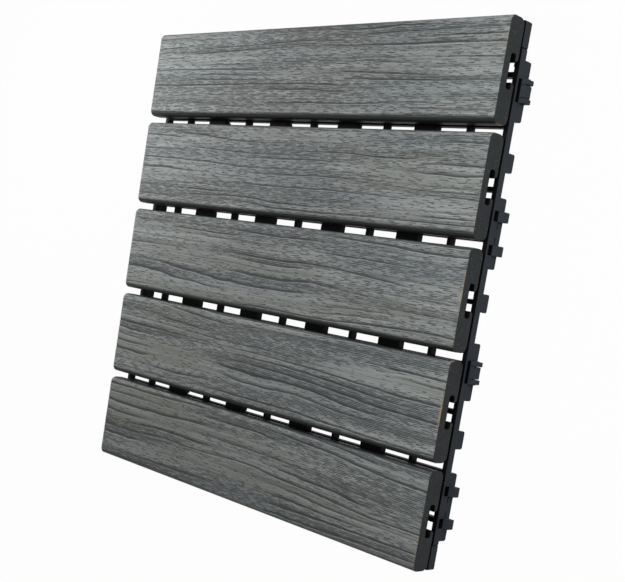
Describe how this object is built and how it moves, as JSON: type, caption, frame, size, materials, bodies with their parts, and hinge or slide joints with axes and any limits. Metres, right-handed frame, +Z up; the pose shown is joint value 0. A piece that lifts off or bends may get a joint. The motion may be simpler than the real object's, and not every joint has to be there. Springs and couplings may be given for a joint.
{
  "type": "interlocking deck tile",
  "caption": "Square outdoor deck tile: grained composite boards screwed side by side on a black moulded grid with feet, clips and sockets that lock to the next tile.",
  "frame": {"origin": "on the ground under the feet, below the middle of the tile", "axes": "+X along the boards, +Y across the boards, +Z up"},
  "size_m": [0.303, 0.303, 0.024],
  "materials": {
    "board_composite": "embossed wood grain, weathered grey skin over a charcoal core",
    "grid_plastic": "moulded, satin black",
    "screw_steel": "plain stainless"
  },
  "bodies": {
    "root": {"board_1": "board_composite", "board_2": "board_composite", "board_3": "board_composite", "board_4": "board_composite", "board_5": "board_composite", "base_grid": "grid_plastic", "board_screws": "screw_steel"}
  },
  "joints": []
}
